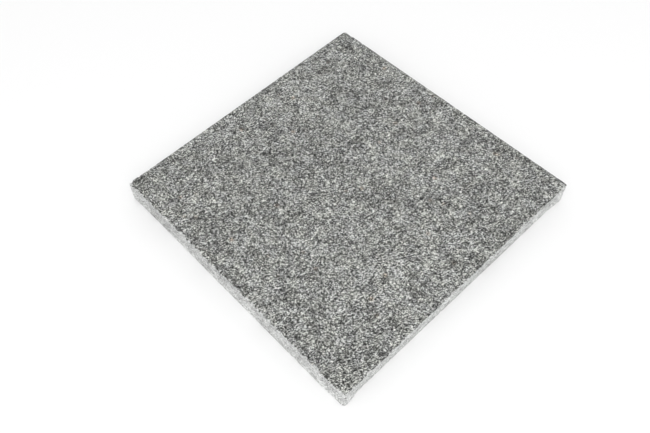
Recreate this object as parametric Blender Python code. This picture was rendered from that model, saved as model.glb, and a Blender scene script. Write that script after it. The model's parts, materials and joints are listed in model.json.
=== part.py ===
"""Granite slab: one block of natural stone with a honed working face and sawn sides.

Leatherworkers tool, stamp and skive on it. It lies loose on a bench and has no feet or fittings.
Units are metres and +Z is up. The origin is the centre of the underside, on the surface that the
slab lies on. The four sides run along X and Y.
"""

import bmesh
import bpy

# Driving dimensions.
WIDTH = 0.305  # side to side, along X
DEPTH = 0.305  # front to back, along Y
THICKNESS = 0.025  # underside to working face, along Z
CORNER_RADIUS = 0.004  # rounding of the four upright corners, seen from above
TOP_ARRIS = 0.0006  # how far the rim of the working face is eased
BOTTOM_ARRIS = 0.0012  # how far the rim of the underside is eased, for the fingers that lift it

# How finely the rounded edges are faceted.
CORNER_SEGMENTS = 10
ARRIS_SEGMENTS = 3
CREASE_ANGLE = 0.7  # radians; faces that meet more sharply than this aren't smoothed together

# Colours are linear RGB.
HONED_GREY = (0.262, 0.262, 0.252, 1.0)
SAWN_GREY = (0.565, 0.565, 0.552, 1.0)
HONED_ROUGHNESS = 0.62
SAWN_ROUGHNESS = 0.85

# Two points that should be at one height or one place are never further apart than this.
TOLERANCE = 1e-6


def clear_scene():
    """Removes whatever the scene holds, so that only the slab is left."""
    for obj in list(bpy.data.objects):
        bpy.data.objects.remove(obj, do_unlink=True)


def stone(name, colour, roughness):
    """A dull, non-metallic surface of one colour."""
    material = bpy.data.materials.new(name)
    material.use_nodes = True
    material.diffuse_color = colour
    shader = material.node_tree.nodes["Principled BSDF"]
    shader.inputs["Base Color"].default_value = colour
    shader.inputs["Roughness"].default_value = roughness
    shader.inputs["Metallic"].default_value = 0.0
    return material


def sawn_block(bm):
    """The block as the saw leaves it: flat faces, and every edge sharp."""
    corners = bmesh.ops.create_cube(bm, size=1.0)["verts"]
    bmesh.ops.scale(bm, vec=(WIDTH, DEPTH, THICKNESS), verts=corners)
    bmesh.ops.translate(bm, vec=(0.0, 0.0, THICKNESS / 2), verts=corners)


def round_corners(bm):
    """Rounds the four upright edges, each over the same radius."""
    upright = [
        edge for edge in bm.edges
        if abs(edge.verts[0].co.z - edge.verts[1].co.z) > THICKNESS - TOLERANCE
    ]
    bmesh.ops.bevel(
        bm, geom=upright, offset=CORNER_RADIUS, segments=CORNER_SEGMENTS, profile=0.5, affect="EDGES"
    )


def ease_rim(bm, height, width):
    """Takes the sharpness off the whole rim at one height."""
    rim = [
        edge for edge in bm.edges
        if all(abs(corner.co.z - height) < TOLERANCE for corner in edge.verts)
    ]
    bmesh.ops.bevel(
        bm, geom=rim, offset=width, segments=ARRIS_SEGMENTS, profile=0.5, affect="EDGES"
    )


def build_slab():
    """Makes the slab, with its honed face on top and sawn stone everywhere else."""
    bm = bmesh.new()
    sawn_block(bm)
    round_corners(bm)
    ease_rim(bm, THICKNESS, TOP_ARRIS)
    ease_rim(bm, 0.0, BOTTOM_ARRIS)
    bmesh.ops.recalc_face_normals(bm, faces=bm.faces)
    mesh = bpy.data.meshes.new("granite_slab")
    mesh.materials.append(stone("honed_granite", HONED_GREY, HONED_ROUGHNESS))
    mesh.materials.append(stone("sawn_granite", SAWN_GREY, SAWN_ROUGHNESS))
    for face in bm.faces:
        is_working_face = min(corner.co.z for corner in face.verts) > THICKNESS - TOLERANCE
        face.material_index = 0 if is_working_face else 1
    bm.to_mesh(mesh)
    bm.free()
    mesh.shade_smooth()
    mesh.set_sharp_from_angle(angle=CREASE_ANGLE)
    slab = bpy.data.objects.new("granite_slab", mesh)
    bpy.context.scene.collection.objects.link(slab)
    return slab


clear_scene()
build_slab()
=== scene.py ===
# %% [markdown]
# # A granite slab for leatherwork
#
# This lesson dresses one plain block as a real stone: a square of speckled grey granite, 305 mm across
# and 25 mm thick, that leatherworkers tool and stamp on. Its top is honed, which means ground flat and
# dull. Its sides are left as the saw cut them, so they look pale and chalky. The edges between them are
# a little bruised and chipped, because granite is hard but brittle.
#
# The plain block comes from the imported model. It stays where it is as the frame of reference, and the
# detailed stone made here takes its place in the picture.

# %% Load the plain block
import json
import random
from math import pi, radians, sqrt

import bmesh
import bpy
from mathutils import Matrix, Vector

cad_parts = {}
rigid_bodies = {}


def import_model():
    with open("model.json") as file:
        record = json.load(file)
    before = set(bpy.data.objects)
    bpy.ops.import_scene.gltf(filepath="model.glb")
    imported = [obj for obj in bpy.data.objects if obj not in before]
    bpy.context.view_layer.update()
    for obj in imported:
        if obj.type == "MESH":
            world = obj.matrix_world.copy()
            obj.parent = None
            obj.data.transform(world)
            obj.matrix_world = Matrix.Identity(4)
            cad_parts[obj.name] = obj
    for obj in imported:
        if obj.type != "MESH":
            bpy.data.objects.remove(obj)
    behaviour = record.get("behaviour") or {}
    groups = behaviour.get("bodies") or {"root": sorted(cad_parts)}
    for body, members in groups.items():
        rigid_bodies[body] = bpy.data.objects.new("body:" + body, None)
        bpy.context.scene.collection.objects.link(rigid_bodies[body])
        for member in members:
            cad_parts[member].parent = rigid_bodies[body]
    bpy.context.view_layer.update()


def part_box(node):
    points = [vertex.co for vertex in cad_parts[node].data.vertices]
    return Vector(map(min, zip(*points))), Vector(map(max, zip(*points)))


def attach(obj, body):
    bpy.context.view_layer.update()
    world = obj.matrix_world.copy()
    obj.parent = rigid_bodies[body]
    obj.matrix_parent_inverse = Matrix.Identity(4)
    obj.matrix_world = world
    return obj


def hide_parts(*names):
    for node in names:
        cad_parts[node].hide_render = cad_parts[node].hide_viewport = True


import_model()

MM = 0.001
LOW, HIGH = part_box("granite_slab")
WIDTH, DEPTH, THICKNESS = HIGH - LOW
UP, NORTH = Vector((0.0, 0.0, 1.0)), Vector((0.0, 1.0, 0.0))
print(f"the block is {WIDTH / MM:.0f} x {DEPTH / MM:.0f} x {THICKNESS / MM:.0f} mm")

# %% [markdown]
# ## The camera
#
# The slab is seen from above one corner, about as a person looks down at a bench. The camera's place and
# the point that it aims at are both given from the centre of the working face, and the picture is tipped
# a few degrees, as a hand-held camera's is. A camera looks along its own -Z, so a rotation is made that
# points -Z from the eye to the aim, and then turned a little about that line.

# %% Camera
FACE_CENTRE = Vector((0.0, 0.0, HIGH.z))
EYE = FACE_CENTRE + Vector((0.2988, -0.2911, 0.5846))
AIM = FACE_CENTRE + Vector((0.0134, -0.0402, 0.0))
TIP = radians(-2.81)
LENS_MM = 40.53
SENSOR_MM = 36.0

bpy.ops.object.select_all(action="DESELECT")
bpy.ops.object.camera_add(location=EYE)
camera = bpy.context.object
camera.name = "bench_camera"
camera.data.lens = LENS_MM
camera.data.sensor_width = SENSOR_MM
camera.data.clip_start = 0.01
looking = (AIM - EYE).to_track_quat("-Z", "Y").to_matrix()
camera.rotation_euler = (looking @ Matrix.Rotation(TIP, 3, "Z")).to_euler()
bpy.context.scene.camera = camera
print(f"the camera is {(AIM - EYE).length:.3f} m from the point it aims at")

# %% [markdown]
# ## Floor and light
#
# Stone shows best in soft light with no hard shadow. A wide white floor throws light back up at the
# sides, a pale sky gives even light from all round, and one large soft lamp overhead adds a faint
# direction, so that the chips and the saw marks read as shapes. The floor lies a hair below the stone,
# because two surfaces in exactly the same place would show through each other in patches.

# %% Floor and light
FLOOR_SIDE = 12.0
FLOOR_GAP = 0.1 * MM
FLOOR_WHITE = 0.93
FLOOR_ROUGHNESS = 0.9
WHITE = (1.0, 1.0, 1.0, 1.0)
SKY_STRENGTH = 0.88
LAMP_SIDE = 1.6
LAMP_WATTS = 14.0
LAMP_PLACE = Vector((0.9, -0.8, 1.6))


def plain_material(name, colour, roughness):
    """A one-colour surface, for what isn't part of the object."""
    material = bpy.data.materials.new(name)
    material.use_nodes = True
    shader = material.node_tree.nodes["Principled BSDF"]
    shader.inputs["Base Color"].default_value = colour
    shader.inputs["Roughness"].default_value = roughness
    return material


bpy.ops.object.select_all(action="DESELECT")
bpy.ops.mesh.primitive_plane_add(size=FLOOR_SIDE, location=(0.0, 0.0, LOW.z - FLOOR_GAP))
floor = bpy.context.object
floor.name = "floor"
floor.data.materials.append(plain_material("floor_white", (*(FLOOR_WHITE,) * 3, 1.0), FLOOR_ROUGHNESS))

world = bpy.data.worlds.new("pale_sky")
world.use_nodes = True
sky = world.node_tree.nodes["Background"]
sky.inputs["Color"].default_value = WHITE
sky.inputs["Strength"].default_value = SKY_STRENGTH
bpy.context.scene.world = world

bpy.ops.object.light_add(type="AREA", location=LAMP_PLACE)
lamp = bpy.context.object
lamp.name = "soft_lamp"
lamp.data.shape = "SQUARE"
lamp.data.size = LAMP_SIDE
lamp.data.energy = LAMP_WATTS
lamp.rotation_euler = (FACE_CENTRE - LAMP_PLACE).to_track_quat("-Z", "Y").to_euler()

bpy.context.scene.view_settings.view_transform = "Standard"
print("floor, sky and lamp are in place")

# %% [markdown]
# ## The sawn block
#
# A slab starts as a bigger sheet of stone that a bridge saw cuts to size, one side at a time. The cuts
# are never quite square to each other, so the corners stand in from the ideal block by up to three
# millimetres, and not by the same amount at the top and at the foot. A cube is added at the block's
# size, and each of its eight corners is then moved in by its own amount.

# %% Block
CORNERS = {"far": (-1, 1), "right": (1, 1), "near": (1, -1), "left": (-1, -1)}
LEVELS = {"top": HIGH.z, "foot": LOW.z}
# How far each corner stands in along X and along Y.
TOP_INSET_MM = {"far": (0.0, 3.0), "right": (0.0, 0.0), "near": (0.0, 1.3), "left": (1.3, 1.8)}
FOOT_INSET_MM = {"far": (0.4, 2.4), "right": (1.4, 0.4), "near": (2.3, 0.0), "left": (0.9, 0.6)}
INSET_MM = {"top": TOP_INSET_MM, "foot": FOOT_INSET_MM}
CLOSE = 5 * MM
SAME = 0.01 * MM


def pick(kind, test):
    """In edit mode, selects only the vertices, edges or faces that pass the test, and counts them."""
    bpy.ops.mesh.select_mode(type=kind)
    bpy.ops.mesh.select_all(action="DESELECT")
    data = bpy.context.edit_object.data
    mesh = bmesh.from_edit_mesh(data)
    items = {"VERT": mesh.verts, "EDGE": mesh.edges, "FACE": mesh.faces}[kind]
    found = [item for item in items if test(item)]
    for item in found:
        item.select_set(True)
    bmesh.update_edit_mesh(data)
    return len(found)


def rim_corner(corner, level):
    """Where the rims of two sides would meet at a corner, on the working face or at the foot."""
    sign_x, sign_y = CORNERS[corner]
    inset_x, inset_y = INSET_MM[level][corner]
    return Vector((sign_x * (WIDTH / 2 - inset_x * MM), sign_y * (DEPTH / 2 - inset_y * MM), LEVELS[level]))


bpy.ops.object.select_all(action="DESELECT")
bpy.ops.mesh.primitive_cube_add(size=1.0, location=(LOW + HIGH) / 2, scale=(WIDTH, DEPTH, THICKNESS))
stone = bpy.context.object
stone.name = "honed_granite_slab"
bpy.ops.object.transform_apply(location=True, rotation=True, scale=True)
bpy.ops.object.mode_set(mode="EDIT")
for corner, (sign_x, sign_y) in CORNERS.items():
    for level, height in LEVELS.items():
        square = Vector((sign_x * WIDTH / 2, sign_y * DEPTH / 2, height))
        pick("VERT", lambda vertex: (vertex.co - square).length < CLOSE)
        bpy.ops.transform.translate(value=rim_corner(corner, level) - square)
bpy.ops.object.mode_set(mode="OBJECT")
widest = max(max(inset) for insets in INSET_MM.values() for inset in insets.values())
print("cut out of square by up to", widest, "mm")

# %% [markdown]
# ## The upright corners
#
# Each of the four upright corners has been knocked back with a rubbing stone, some more than others. The
# Bevel operator does that: it swaps an edge for a rounded strip. One edge is picked at a time, by the
# corner that it stands on, so that each one gets a radius of its own.

# %% Upright corners
CORNER_RADIUS_MM = {"far": 4.5, "right": 2.4, "near": 2.6, "left": 2.4}
CORNER_STEPS = 8


def stands_at(edge, corner):
    """Whether this is the upright edge at that corner."""
    middle = (edge.verts[0].co + edge.verts[1].co) / 2
    aside = Vector((CORNERS[corner][0] * WIDTH / 2, CORNERS[corner][1] * DEPTH / 2)) - middle.xy
    return abs(middle.z - THICKNESS / 2) < MM and aside.length < CLOSE


bpy.ops.object.mode_set(mode="EDIT")
for corner, radius in CORNER_RADIUS_MM.items():
    pick("EDGE", lambda edge: stands_at(edge, corner))
    bpy.ops.mesh.bevel(offset=radius * MM, segments=CORNER_STEPS, profile=0.5, affect="EDGES")
bpy.ops.object.mode_set(mode="OBJECT")
print("four corners rounded in", CORNER_STEPS, "steps each")

# %% [markdown]
# ## The eased rims
#
# Nobody leaves a sawn rim razor sharp. The rim of the working face has only had its sharpness taken off,
# so that leather can be worked right up to it. The rim of the foot is eased more, for the fingers that
# lift the slab. Both are bevels again, along every edge at one height.

# %% Rims
TOP_RIM_MM = 0.35
FOOT_RIM_MM = 0.9
RIM_STEPS = 2


def lies_at(edge, height):
    """Whether both ends of this edge are at that height."""
    return all(abs(end.co.z - height) < SAME for end in edge.verts)


bpy.ops.object.mode_set(mode="EDIT")
for height, width in ((HIGH.z, TOP_RIM_MM), (LOW.z, FOOT_RIM_MM)):
    edges = pick("EDGE", lambda edge: lies_at(edge, height))
    bpy.ops.mesh.bevel(offset=width * MM, segments=RIM_STEPS, profile=0.5, affect="EDGES")
    print(f"rim at {height / MM:.0f} mm: {edges} edges eased by {width} mm")
bpy.ops.object.mode_set(mode="OBJECT")

# %% [markdown]
# ## Corners off true
#
# The saw wanders a little as it leaves each cut, so near three of the corners the sides bend out or in by
# a millimetre or two. The long edges are first subdivided, so that they have vertices to bend. Then a
# corner of the rim is picked and moved, and proportional editing takes its neighbours along, less and less
# with distance.

# %% Corners off true
ALONG = 72
LONG_EDGE = 0.1
# How far the rims are pushed along X and along Y at each corner.
PUSH_MM = {
    "left": {"top": (-0.9, -1.0), "foot": (-0.8, -0.5)},
    "right": {"top": (0.0, 0.0), "foot": (1.2, 0.3)},
    "near": {"top": (0.0, 0.6), "foot": (2.1, 0.8)},
}
PUSH_REACH = 4 * MM
PUSH_SPREAD = 20 * MM

bpy.ops.object.mode_set(mode="EDIT")
edges = pick("EDGE", lambda edge: edge.calc_length() > LONG_EDGE)
bpy.ops.mesh.subdivide(number_cuts=ALONG)
for corner, pushes in PUSH_MM.items():
    for level, push in pushes.items():
        place = rim_corner(corner, level)
        pick("VERT", lambda vertex: (vertex.co - place).length < PUSH_REACH)
        bpy.ops.transform.translate(
            value=Vector((*push, 0.0)) * MM,
            use_proportional_edit=True,
            proportional_edit_falloff="SMOOTH",
            proportional_size=PUSH_SPREAD,
        )
bpy.ops.object.mode_set(mode="OBJECT")
print(f"{edges} long edges cut {ALONG} times, {len(PUSH_MM)} corners pushed")

# %% [markdown]
# ## Saw marks
#
# The blade goes round and the slab goes past it, so the marks run along each side, parallel to the rims.
# Most are hair lines. One is a small ledge, where the second pass of the blade didn't quite meet the
# first. They are cut as real shapes: the Bisect operator adds a ring of vertices at a height, and when all
# the rings are there, each one is drawn in a little towards the middle of the slab. The corners are left
# out, because rubbing them round took their marks away.

# %% Saw marks
SAW_RINGS_MM = (
    (2.2, 0.00), (2.5, 0.10), (2.9, 0.01), (5.4, 0.02), (5.7, 0.13), (6.1, 0.03),
    (8.9, 0.06), (9.3, 0.24), (9.7, 0.08), (12.4, 0.01), (12.8, 0.12), (13.2, 0.02),
    (16.0, 0.02), (16.3, 0.09), (16.7, 0.01), (19.6, 0.03), (19.9, 0.15), (20.4, 0.02), (22.7, 0.00),
)
RUBBED = 9 * MM


def from_corner(vertex):
    """How far a vertex is from the nearest upright corner of the block, seen from above."""
    return Vector((WIDTH / 2 - abs(vertex.co.x), DEPTH / 2 - abs(vertex.co.y))).length


bpy.ops.object.mode_set(mode="EDIT")
for height, _ in SAW_RINGS_MM:
    bpy.ops.mesh.select_all(action="SELECT")
    bpy.ops.mesh.bisect(plane_co=(0.0, 0.0, height * MM), plane_no=UP)
for height, depth in SAW_RINGS_MM:
    pick("VERT", lambda vertex: abs(vertex.co.z - height * MM) < SAME and from_corner(vertex) > RUBBED)
    drawn_in = (1 - 2 * depth * MM / WIDTH, 1 - 2 * depth * MM / DEPTH, 1.0)
    bpy.ops.transform.resize(value=drawn_in, center_override=(0.0, 0.0, height * MM))
bpy.ops.object.mode_set(mode="OBJECT")
print(len(SAW_RINGS_MM), "rings round the sides")

# %% [markdown]
# ## Sides that wander
#
# A blade flexes, so a sawn side is never a true plane. A Displace modifier moves vertices along their
# normals by the brightness of a texture. Its middle level is set to 1, so that it only ever moves them
# inwards, and a vertex group keeps it to the sides and fades it towards the corners. Both rims and both
# flat faces stay as they are.

# %% Wander
WANDER_MM = 0.3
WANDER_SCALE = 0.035
WANDER_DEPTH = 2
KEPT_MM = 1.5
FADE_MM = 30.0

sides = stone.vertex_groups.new(name="sides")
for vertex in stone.data.vertices:
    if LOW.z + KEPT_MM * MM < vertex.co.z < HIGH.z - KEPT_MM * MM:
        sides.add([vertex.index], min(1.0, from_corner(vertex) / (FADE_MM * MM)), "REPLACE")
wander = bpy.data.textures.new("wander", type="CLOUDS")
wander.noise_scale = WANDER_SCALE
wander.noise_depth = WANDER_DEPTH
displace = stone.modifiers.new("wander", "DISPLACE")
displace.texture = wander
displace.texture_coords = "LOCAL"
displace.vertex_group = sides.name
displace.mid_level = 1.0
displace.strength = WANDER_MM * MM
bpy.context.view_layer.objects.active = stone
bpy.ops.object.modifier_apply(modifier=displace.name)
print(f"the sides moved in by up to {WANDER_MM} mm")

# %% [markdown]
# ## What granite is made of
#
# Granite is a mass of crystals that grew tightly together as the rock cooled: flakes of black mica,
# glassy grey quartz and pale feldspar, here one or two millimetres across. A Voronoi texture is made
# for this. It splits space into cells round random points and gives each cell random numbers of its
# own, and each cell can stand for one crystal.
#
# The pattern is a solid one: it is read at the surface's place in space, and isn't wrapped round the
# slab. So the crystals run through from the top to the sides and into every chip, as in real stone. All
# the finishes below share one recipe for the crystals, and only treat them differently.
#
# A material is a web of small nodes. These short functions add one node each and wire it up, so that the
# recipes further down read like a list of steps.

# %% Nodes that work on values and colours
BLACK = (0.0, 0.0, 0.0, 1.0)


def add(tree, kind, **settings):
    """Adds a node to a material and sets its properties."""
    node = tree.nodes.new(kind)
    for name, value in settings.items():
        setattr(node, name, value)
    return node


def wire(tree, source, socket):
    """Links another node's output to this socket, or sets the socket to a number or a colour."""
    if isinstance(source, bpy.types.NodeSocket):
        tree.links.new(source, socket)
    else:
        socket.default_value = source


def calculate(tree, operation, first, second=0.0):
    """One step of arithmetic on values."""
    node = add(tree, "ShaderNodeMath", operation=operation)
    wire(tree, first, node.inputs[0])
    wire(tree, second, node.inputs[1])
    return node.outputs["Value"]


def blend(tree, amount, first, second, method="MIX"):
    """Goes from the first colour to the second as the amount goes from 0 to 1."""
    node = add(tree, "ShaderNodeMix", data_type="RGBA", blend_type=method)
    colours = [socket for socket in node.inputs if socket.type == "RGBA"]
    wire(tree, amount, node.inputs["Factor"])
    wire(tree, first, colours[0])
    wire(tree, second, colours[1])
    return next(socket for socket in node.outputs if socket.type == "RGBA")


def choose(tree, amount, first, second):
    """As blend, for plain values."""
    node = add(tree, "ShaderNodeMix", data_type="FLOAT")
    wire(tree, amount, node.inputs["Factor"])
    wire(tree, first, node.inputs["A"])
    wire(tree, second, node.inputs["B"])
    return node.outputs["Result"]


def ramp(tree, value, stops):
    """A colour ramp through these (position, colour) stops."""
    node = add(tree, "ShaderNodeValToRGB")
    while len(node.color_ramp.elements) < len(stops):
        node.color_ramp.elements.new(0.5)
    for element, (position, colour) in zip(node.color_ramp.elements, stops):
        element.position = position
        element.color = colour
    wire(tree, value, node.inputs["Fac"])
    return node.outputs["Color"]


def grey(bright):
    """A plain grey of this brightness."""
    return (bright, bright, bright, 1.0)


def darken(tree, colour, amount, stops):
    """Multiplies the colour by a grey that the (position, brightness) stops give for each amount."""
    shade = ramp(tree, amount, [(position, grey(bright)) for position, bright in stops])
    return blend(tree, 1.0, colour, shade, method="MULTIPLY")


print("nodes for sums, blends and ramps are ready")

# %% [markdown]
# ## Patterns in space
#
# Three patterns do all the work: soft clouds for slow changes, Voronoi cells for crystals, and either of
# them stretched, for needles and saw lines. Each is given its size in millimetres, as it would be measured
# on the stone.

# %% Nodes that make patterns
def clouds(tree, place, size_mm, detail=2.0):
    """Soft clouds of about this size, as a value round a half."""
    node = add(tree, "ShaderNodeTexNoise")
    wire(tree, place, node.inputs["Vector"])
    node.inputs["Scale"].default_value = 1 / (size_mm * MM)
    node.inputs["Detail"].default_value = detail
    return node.outputs["Fac"]


def crystals(tree, place, size_mm):
    """Two random values for each crystal of about this size."""
    node = add(tree, "ShaderNodeTexVoronoi")
    wire(tree, place, node.inputs["Vector"])
    node.inputs["Scale"].default_value = 1 / (size_mm * MM)
    split = add(tree, "ShaderNodeSeparateColor")
    wire(tree, node.outputs["Color"], split.inputs["Color"])
    return split.outputs["Red"], split.outputs["Green"]


def stretched(tree, place, stretch, angles=(0.0, 0.0, 0.0)):
    """A place that makes a pattern this many times longer along each axis and then turns it."""
    node = add(tree, "ShaderNodeMapping", vector_type="TEXTURE")
    wire(tree, place, node.inputs["Vector"])
    node.inputs["Rotation"].default_value = [radians(angle) for angle in angles]
    node.inputs["Scale"].default_value = stretch
    return node.outputs["Vector"]


def roughen(tree, shader, height, depth_mm, strength):
    """Small relief that is too fine to model."""
    bump = add(tree, "ShaderNodeBump")
    bump.inputs["Strength"].default_value = strength
    bump.inputs["Distance"].default_value = depth_mm * MM
    wire(tree, height, bump.inputs["Height"])
    wire(tree, bump.outputs["Normal"], shader.inputs["Normal"])


print("patterns are ready: clouds, crystals and stretched ones")

# %% [markdown]
# ## The crystals
#
# Real crystals don't have straight sides, so the place is jittered by a fine noise before the Voronoi
# texture reads it. Coarse crystals fill just under half of the space and fine ones the rest. Three more
# sets are stretched into laths, the needle-like grains that feldspar and mica make, lying three ways.
#
# Three slow noises push the numbers up here and down there, so that some patches have more mica and others
# more feldspar: the felt is a few crystals across, the mottle a thumb's width and the drift a hand's.
#
# Last, a ramp turns each number into a mineral. Its stops follow the shares of the minerals in the rock:
# the further right a stop is, the more of the stone is darker than it.

# %% Crystals
COARSE_MM = 1.04
FINE_MM = 0.46
LATH_MM = 0.58
JITTER_MM = 0.6
COARSE_SHARE = 0.45
LATH_SHARE = 0.20
LATH_ANGLES = ((12.0, 20.0, 10.0), (-18.0, 8.0, 45.0), (10.0, -14.0, 82.0))
LATH_STRETCH = (3.2, 1.0, 1.2)
FELT_MM = 3.0
FELT = 0.46
MOTTLE_MM = 14.0
MOTTLE = 0.42
DRIFT_MM = 70.0
DRIFT = 0.16
GREENISH = (0.990, 1.0, 0.975)


def share_over(tree, value, share):
    """1 in about this share of the crystals, and 0 in the rest."""
    return calculate(tree, "GREATER_THAN", value, 1 - share)


def granite(tree):
    """The crystals of the stone, as (place, the random value of each crystal)."""
    place = add(tree, "ShaderNodeTexCoord").outputs["Object"]
    fine_noise = add(tree, "ShaderNodeTexNoise")
    fine_noise.inputs["Scale"].default_value = 1 / (JITTER_MM * MM)
    wire(tree, place, fine_noise.inputs["Vector"])
    jitter = add(tree, "ShaderNodeVectorMath", operation="MULTIPLY_ADD")
    wire(tree, fine_noise.outputs["Color"], jitter.inputs[0])
    jitter.inputs[1].default_value = [JITTER_MM * MM] * 3
    wire(tree, place, jitter.inputs[2])
    rough_place = jitter.outputs["Vector"]

    coarse, is_coarse = crystals(tree, rough_place, COARSE_MM)
    fine, _ = crystals(tree, rough_place, FINE_MM)
    number = choose(tree, share_over(tree, is_coarse, COARSE_SHARE), fine, coarse)
    for angles in LATH_ANGLES:
        lath, is_lath = crystals(tree, stretched(tree, rough_place, LATH_STRETCH, angles), LATH_MM)
        number = choose(tree, share_over(tree, is_lath, LATH_SHARE), number, lath)
    for size_mm, strength in ((FELT_MM, FELT), (MOTTLE_MM, MOTTLE), (DRIFT_MM, DRIFT)):
        above_middle = calculate(tree, "SUBTRACT", clouds(tree, rough_place, size_mm), 0.5)
        number = calculate(tree, "ADD", number, calculate(tree, "MULTIPLY", above_middle, strength))
    return place, number


def minerals(tree, number, shares, tint=GREENISH):
    """Colours the crystals. Each (share, brightness) says how bright the mineral at that share is."""
    stops = [(share, (*(bright * part for part in tint), 1.0)) for share, bright in shares]
    return ramp(tree, number, stops)


def new_finish(name):
    """An empty finish, with its node tree and its shader."""
    material = bpy.data.materials.new(name)
    material.use_nodes = True
    return material, material.node_tree, material.node_tree.nodes["Principled BSDF"]


print("crystals of", COARSE_MM, "and", FINE_MM, "mm, with", len(LATH_ANGLES), "sets of laths")

# %% [markdown]
# ## The honed face
#
# Honing grinds the face flat with ever finer grit and stops before it shines. So the crystals show their
# own colours, the quartz and feldspar have a faint gloss, and the soft mica is worn a hair lower and
# duller. Weather and old dye leave faint olive and slate stains a centimetre across, and there are a few
# rusty specks where iron in the mica has bled.

# %% Honed finish
HONED_SHARES = ((0.15, 0.004), (0.33, 0.019), (0.47, 0.072), (0.63, 0.220), (0.79, 0.520), (0.95, 0.790))
STAIN_MM = 11.0
RUST_GAP_MM = 24.0
RUST_MM = 1.6
OLIVE = (0.99, 1.0, 0.955, 1.0)
SLATE = (0.99, 1.0, 0.995, 1.0)
RUST = (1.0, 0.80, 0.66, 1.0)
DULL_MICA, FAINT_GLOSS = 0.72, 0.52

honed, tree, shader = new_finish("honed_granite")
place, number = granite(tree)
mineral = minerals(tree, number, HONED_SHARES)
stain = ramp(tree, clouds(tree, place, STAIN_MM), ((0.40, OLIVE), (0.60, SLATE)))
stained = blend(tree, 1.0, mineral, stain, method="MULTIPLY")
rust_spots = add(tree, "ShaderNodeTexVoronoi")
rust_spots.inputs["Scale"].default_value = 1 / (RUST_GAP_MM * MM)
wire(tree, place, rust_spots.inputs["Vector"])
rust_ends = 2 * RUST_MM / RUST_GAP_MM
near_rust = ramp(tree, rust_spots.outputs["Distance"], ((0.0, WHITE), (rust_ends, BLACK)))
rusted = blend(tree, 1.0, stained, RUST, method="MULTIPLY")
wire(tree, blend(tree, near_rust, stained, rusted), shader.inputs["Base Color"])
wire(tree, choose(tree, number, DULL_MICA, FAINT_GLOSS), shader.inputs["Roughness"])
roughen(tree, shader, number, depth_mm=0.05, strength=0.2)
print("the honed finish has", len(tree.nodes), "nodes")

# %% [markdown]
# ## The sawn sides
#
# A diamond blade doesn't polish. It crushes the surface of each crystal, and the crushed surface scatters
# light, so a sawn face is far paler than a honed one and its minerals are only just told apart. Rock flour
# fills the hollows. The blade leaves fine lines along its travel, some of them broken into dashes, and
# each pass comes out a shade lighter or darker. All of these are noises stretched along the cut. The sides
# are sawn along the rims, so their lines are thin in height. The underside is sawn the other way.

# %% Sawn finishes
SAWN_SHARES = ((0.05, 0.10), (0.28, 0.34), (0.46, 0.68), (0.66, 0.90), (0.95, 0.98))
FLOUR_TINT = (0.99, 1.0, 0.985)
LINE_MM = 0.9
LINE_LENGTH_MM = 60.0
DASH_LENGTH_MM = 9.0
PASS_MM = 20.0
PASS_LENGTH_MM = 250.0
DUST_MM = 16.0
# Where each kind of mark starts and ends, and how dark it makes the stone there.
LINE_STOPS = ((0.32, 0.82), (0.50, 1.0))
DASH_STOPS = ((0.30, 0.65), (0.37, 1.0))
PASS_STOPS = ((0.35, 0.84), (0.60, 1.0))
DUST_STOPS = ((0.30, 0.80), (0.60, 1.0))
CHALKY, CRUSHED = 0.92, 0.78
GRAIN_IN_LINES = 0.3


def saw_lines(tree, place, thickness_mm, length_mm, thin_axis):
    """A noise that is this thick across its lines and this long along them."""
    stretch = [length_mm / thickness_mm] * 3
    stretch[thin_axis] = 1.0
    return clouds(tree, stretched(tree, place, stretch), thickness_mm, detail=1.0)


def sawn_finish(name, thin_axis):
    """Sawn granite whose saw lines are thin along this axis."""
    material, tree, shader = new_finish(name)
    place, number = granite(tree)
    colour = minerals(tree, number, SAWN_SHARES, FLOUR_TINT)
    lines = saw_lines(tree, place, LINE_MM, LINE_LENGTH_MM, thin_axis)
    dashes = saw_lines(tree, place, LINE_MM, DASH_LENGTH_MM, thin_axis)
    passes = saw_lines(tree, place, PASS_MM, PASS_LENGTH_MM, thin_axis)
    dust = clouds(tree, place, DUST_MM, detail=3.0)
    marks = ((lines, LINE_STOPS), (dashes, DASH_STOPS), (passes, PASS_STOPS), (dust, DUST_STOPS))
    for mark, stops in marks:
        colour = darken(tree, colour, mark, stops)
    wire(tree, colour, shader.inputs["Base Color"])
    wire(tree, choose(tree, number, CHALKY, CRUSHED), shader.inputs["Roughness"])
    height = calculate(tree, "ADD", lines, calculate(tree, "MULTIPLY", number, GRAIN_IN_LINES))
    roughen(tree, shader, height, depth_mm=0.15, strength=0.4)
    return material


sawn_side = sawn_finish("sawn_granite_side", thin_axis=2)
sawn_underside = sawn_finish("sawn_granite_underside", thin_axis=0)
print("two sawn finishes, with lines", LINE_MM, "mm apart")

# %% [markdown]
# ## The broken chips
#
# Where the stone has broken, it parts between and through its crystals, and the fresh surface looks like
# lump sugar: bright, sparkling and rough, with a dark flake here and there. The crystals are lightened
# and the relief is deeper than on any cut face.

# %% Broken finish
BROKEN_SHARES = ((0.00, 0.20), (0.20, 0.42), (0.44, 0.66), (0.68, 0.82), (1.00, 0.92))
SUGAR_MM = 0.45
SUGAR_STOPS = ((0.0, 0.75), (1.0, 1.0))
ROUGH_BREAK, GLINT = 0.85, 0.45

broken, tree, shader = new_finish("broken_granite")
place, number = granite(tree)
sugar, glint = crystals(tree, place, SUGAR_MM)
colour = minerals(tree, number, BROKEN_SHARES, FLOUR_TINT)
wire(tree, darken(tree, colour, sugar, SUGAR_STOPS), shader.inputs["Base Color"])
wire(tree, choose(tree, glint, ROUGH_BREAK, GLINT), shader.inputs["Roughness"])
roughen(tree, shader, calculate(tree, "ADD", number, sugar), depth_mm=0.25, strength=0.7)
print("the broken finish has", len(tree.nodes), "nodes")

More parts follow.
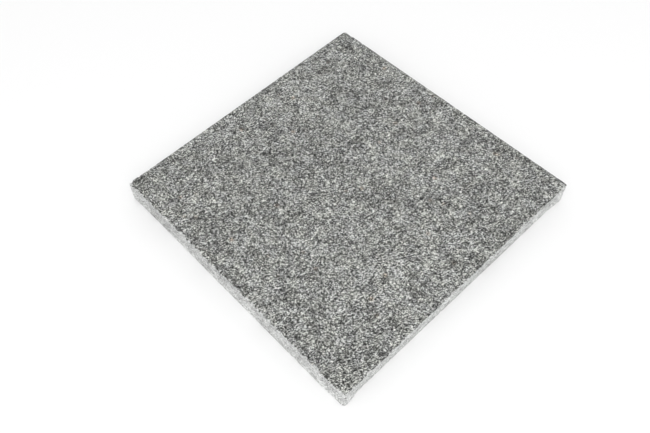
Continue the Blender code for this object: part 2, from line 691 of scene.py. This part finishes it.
# %% [markdown]
# ## Putting the finishes on
#
# The stone wears all four finishes, and each face points to one of them. A face that lies at the height of
# the working face is honed, one at the foot is the underside, and the rest were sawn. The broken finish
# comes in later, with the chips.

# %% Put the finishes on
FINISHES = (honed, sawn_side, sawn_underside, broken)
HONED, SAWN_SIDE, SAWN_UNDERSIDE, BROKEN = range(len(FINISHES))
for finish in FINISHES:
    stone.data.materials.append(finish)
for face in stone.data.polygons:
    if face.center.z > HIGH.z - SAME:
        face.material_index = HONED
    elif face.center.z < LOW.z + SAME:
        face.material_index = SAWN_UNDERSIDE
    else:
        face.material_index = SAWN_SIDE
print("finishes on", len(stone.data.polygons), "faces")

# %% [markdown]
# ## Chips
#
# Granite doesn't dent. When its rim is knocked, a shell-shaped flake flies off and leaves a small hollow
# that cuts into the top and the side at once. The hollow is the dent of a lopsided ball held against the
# rim, so one ball is modelled and roughened, and copies of it are cut away with Boolean modifiers.
#
# Most chips are under a millimetre and a few are several, as with any breakage, so their sizes come from
# a random number raised to a power. The random numbers are seeded, so the slab comes out the same every
# time. Neighbouring chips would overlap, and a Boolean works best on cutters that don't, so the chips are
# dealt like cards into seven heaps, and each heap is one cut.

# %% The ball that cuts a chip
BALL_ROUGHNESS = 0.09
BALL_SEED = 3

bpy.ops.object.select_all(action="DESELECT")
bpy.ops.mesh.primitive_ico_sphere_add(subdivisions=2, radius=1.0, location=(0.0, 0.0, 0.0))
ball = bpy.context.object
ball.name = "chip_ball"
bpy.ops.object.mode_set(mode="EDIT")
bpy.ops.mesh.select_all(action="SELECT")
bpy.ops.transform.vertex_random(offset=BALL_ROUGHNESS, uniform=0.0, normal=0.6, seed=BALL_SEED)
bpy.ops.object.mode_set(mode="OBJECT")
for finish in FINISHES:
    ball.data.materials.append(finish)
for face in ball.data.polygons:
    face.material_index = BROKEN
print("the ball has", len(ball.data.polygons), "faces")

# %% [markdown]
# ## Where the chips are
#
# Six bruises at the corners, where a slab gets knocked when it is set down, are listed one by one. The rest
# follow each other along the rims at random gaps. The rims of the near sides are used most and have the
# larger chips, and the foot has fewer but deeper ones.
#
# A chip's reach is how far it cuts into the flat face, its drop is how far it cuts down the side, and its
# length runs along the rim.

# %% Where the chips are, and how big
CHIP_SEED = 11
SIDES = {
    "west": ("left", "far"),
    "north": ("far", "right"),
    "east": ("right", "near"),
    "south": ("near", "left"),
}
# Side, rim, how far along it (from its end if negative), and the chip's reach, drop and length, in mm.
BRUISES = (
    ("south", "top", 3.0, 2.2, 2.4, 9.0),
    ("east", "top", -4.0, 1.1, 1.6, 6.0),
    ("south", "foot", 4.0, 1.0, 1.2, 4.0),
    ("south", "top", -1.5, 2.3, 2.8, 6.0),
    ("west", "top", 1.8, 1.4, 2.4, 5.0),
    ("north", "top", 11.0, 0.9, 1.3, 14.0),
)
TOP_LARGEST_MM = {"west": 0.9, "north": 0.9, "east": 2.0, "south": 2.5}
TOP_SMALLEST_MM, TOP_GAP_MM, TOP_POWER = 0.2, 2.7, 3
FOOT_SMALLEST_MM, FOOT_LARGEST_MM, FOOT_GAP_MM, FOOT_POWER = 0.5, 2.6, 5.5, 4
CORNER_CLEAR_MM = 3.0
# Each range is from the least to the most.
DROP_SHARE = (0.6, 1.5)
LENGTH_SHARE = (1.2, 3.2)
LENGTH_ADDED_MM = 0.5
GAP_SHARE = (0.35, 1.65)

chance = random.Random(CHIP_SEED)


def rim(side, level):
    """Where one rim of one side starts, the way along it, the way inwards and how long it is."""
    start, end = (rim_corner(corner, level) for corner in SIDES[side])
    along = (end - start).normalized()
    inwards = Vector((along.y, -along.x, 0.0))
    return start, along, inwards if inwards.dot(start) < 0 else -inwards, (end - start).length


def chip(side, level, travelled, reach, drop, length):
    """One chip, this far along its rim: how far it reaches in, how far down or up, and how long it is."""
    start, along, inwards, whole = rim(side, level)
    place = start + along * (travelled * MM % whole)
    return level, place, inwards, along, reach * MM, drop * MM, length * MM


def chips_along(side, level, smallest, largest, gap, power):
    """Chips of random sizes along one rim of one side. A higher power makes large ones rarer."""
    travelled = CORNER_CLEAR_MM
    while travelled < rim(side, level)[-1] / MM - CORNER_CLEAR_MM:
        reach = smallest + (largest - smallest) * chance.random() ** power
        drop = reach * chance.uniform(*DROP_SHARE)
        length = reach * chance.uniform(*LENGTH_SHARE) + LENGTH_ADDED_MM
        yield chip(side, level, travelled, reach, drop, length)
        travelled += gap * chance.uniform(*GAP_SHARE)


chips = [chip(*bruise) for bruise in BRUISES]
for side, largest in TOP_LARGEST_MM.items():
    chips += chips_along(side, "top", TOP_SMALLEST_MM, largest, TOP_GAP_MM, TOP_POWER)
    chips += chips_along(side, "foot", FOOT_SMALLEST_MM, FOOT_LARGEST_MM, FOOT_GAP_MM, FOOT_POWER)
print(len(chips), "chips")

# %% [markdown]
# ## Balls held to the rim
#
# Every ball is held out from the rim by a share of its own size, both outwards and upwards, so that only
# its lower inner side bites into the stone. Working back from the bite gives how big the ball has to be. It
# is spun so that no two chips show the same dent, and tilted a little, as a knock is never square on.

# %% Balls held to the rim
HEAPS = 7
HELD_OUT = 0.35
BITE = sqrt(1 - HELD_OUT ** 2) - HELD_OUT
MOST_TILT = 0.3


def turned(angle, axis):
    """A rotation by this angle, in radians, about this axis."""
    return Matrix.Rotation(angle, 3, axis)


def chip_cutter(level, place, inwards, along, reach, drop, length):
    """A copy of the ball that is sized, turned and placed to cut one chip."""
    cutter = bpy.data.objects.new("cutter", ball.data.copy())
    bpy.context.collection.objects.link(cutter)
    outwards = -inwards
    away = UP if level == "top" else -UP
    deep = reach / BITE
    tall = drop / BITE
    long = length / 2 / (1 - HELD_OUT ** 2)
    axes = Matrix((along * long, outwards * deep, away * tall)).transposed()
    spin = turned(chance.uniform(0, 2 * pi), "X") @ turned(chance.uniform(0, 2 * pi), "Z")
    tilt = turned(chance.uniform(-MOST_TILT, MOST_TILT), away)
    tilt = tilt @ turned(chance.uniform(-MOST_TILT, MOST_TILT), outwards)
    middle = place + outwards * deep * HELD_OUT + away * tall * HELD_OUT
    cutter.data.transform(Matrix.Translation(middle) @ (tilt @ axes @ spin).to_4x4())
    return cutter


heaps = [[] for _ in range(HEAPS)]
for number, facts in enumerate(chips):
    heaps[number % HEAPS].append(chip_cutter(*facts))
bpy.data.objects.remove(ball, do_unlink=True)
print("balls in each heap:", [len(heap) for heap in heaps])

# %% [markdown]
# ## Cutting
#
# Each heap is joined to one cutter, its faces are turned outwards, and it is taken away from the stone.
# Where two balls only just touch, a Boolean may now and then fail and swallow the stone, so a copy is kept
# aside and put back if the stone has lost faces and not gained them.

# %% Cut the chips
for number, heap in enumerate(heaps, start=1):
    bpy.ops.object.select_all(action="DESELECT")
    for cutter in heap:
        cutter.select_set(True)
    bpy.context.view_layer.objects.active = heap[0]
    bpy.ops.object.join()
    bpy.ops.object.mode_set(mode="EDIT")
    bpy.ops.mesh.select_all(action="SELECT")
    bpy.ops.mesh.normals_make_consistent(inside=False)
    bpy.ops.object.mode_set(mode="OBJECT")
    uncut = stone.data.copy()
    cut = stone.modifiers.new("chips", "BOOLEAN")
    cut.operation = "DIFFERENCE"
    cut.solver = "EXACT"
    cut.object = heap[0]
    bpy.context.view_layer.objects.active = stone
    bpy.ops.object.modifier_apply(modifier=cut.name)
    bpy.data.objects.remove(heap[0], do_unlink=True)
    if len(stone.data.polygons) < len(uncut.polygons):
        stone.data = uncut
        print("this cut failed, so the stone goes on as it was")
    print(f"heap {number}: the stone now has {len(stone.data.polygons)} faces")

# %% [markdown]
# ## Crumbs and creases
#
# Between two chips that nearly meet, the cuts can leave a crumb that hangs in the air. Everything that
# isn't linked to the underside is such a crumb, and goes, and so do edges too short to matter. Then the
# borders between finishes are marked sharp, because sawn, honed and broken stone always meet in a crease,
# and the rest is smoothed only where faces meet at a shallow angle.

# %% Crumbs and creases
SMOOTH_DEGREES = 14.0
SHORTEST_EDGE = 0.001 * MM

bpy.ops.object.select_all(action="DESELECT")
stone.select_set(True)
bpy.context.view_layer.objects.active = stone
bpy.ops.object.mode_set(mode="EDIT")
pick("FACE", lambda face: face.material_index == SAWN_UNDERSIDE)
bpy.ops.mesh.select_linked()
bpy.ops.mesh.select_all(action="INVERT")
bpy.ops.mesh.delete(type="VERT")
bpy.ops.mesh.select_all(action="SELECT")
bpy.ops.mesh.dissolve_degenerate(threshold=SHORTEST_EDGE)
for finish in (HONED, SAWN_UNDERSIDE, BROKEN):
    pick("FACE", lambda face: face.material_index == finish)
    bpy.ops.mesh.region_to_loop()
    bpy.ops.mesh.mark_sharp()
open_edges = pick("EDGE", lambda edge: not edge.is_manifold)
bpy.ops.mesh.select_all(action="DESELECT")
bpy.ops.object.mode_set(mode="OBJECT")
bpy.ops.object.shade_smooth_by_angle(angle=radians(SMOOTH_DEGREES))
print(f"{len(stone.data.polygons)} faces, {open_edges} open edges")

# %% [markdown]
# ## A flat map of the stone
#
# Other programs can't grow crystals, so the pattern has to be painted onto one square picture for them, and
# every face needs a place on it. The stone is looked at along six directions: from above, from below and
# from each side. Each face goes where the direction that it faces most squarely puts it, so a chip lands
# in the gap that it left, next to its neighbours. The working face gets the most room, because it is
# looked at most, and the four sides lie above it as strips.

# %% Flat map
TOP_SHARE = 0.645
UNDERSIDE_SHARE = 0.33
STRIP_SHARE = 0.96
MAP_GAP = 0.006

# What each outlook faces, what is up in it, its lower left corner on the map, and how wide it is there.
past_top = TOP_SHARE + 2 * MAP_GAP
outlooks = [
    (UP, NORTH, (MAP_GAP, MAP_GAP), TOP_SHARE),
    (-UP, NORTH, (past_top, MAP_GAP), UNDERSIDE_SHARE),
]
for row, facing in enumerate(((0, -1, 0), (1, 0, 0), (0, 1, 0), (-1, 0, 0))):
    row_foot = past_top + row * (STRIP_SHARE * THICKNESS / WIDTH + MAP_GAP)
    outlooks.append((Vector(facing), UP, (MAP_GAP, row_foot), STRIP_SHARE))

for layer in list(stone.data.uv_layers):
    stone.data.uv_layers.remove(layer)
flat_map = stone.data.uv_layers.new(name="OFBake")
for face in stone.data.polygons:
    facing, up, (left, foot), share = max(outlooks, key=lambda outlook: outlook[0].dot(face.normal))
    across = up.cross(facing)
    start = Vector((WIDTH / 2, DEPTH / 2 if up == NORTH else 0.0))
    for loop in face.loop_indices:
        point = stone.data.vertices[stone.data.loops[loop].vertex_index].co
        seen = (Vector((across.dot(point), up.dot(point))) + start) * share / WIDTH
        flat_map.uv[loop].vector = (left + seen.x, foot + seen.y)
print("the stone is laid out flat from", len(outlooks), "sides")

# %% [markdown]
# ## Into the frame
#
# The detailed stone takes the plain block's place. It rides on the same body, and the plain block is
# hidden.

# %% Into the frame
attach(stone, "root")
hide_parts("granite_slab")
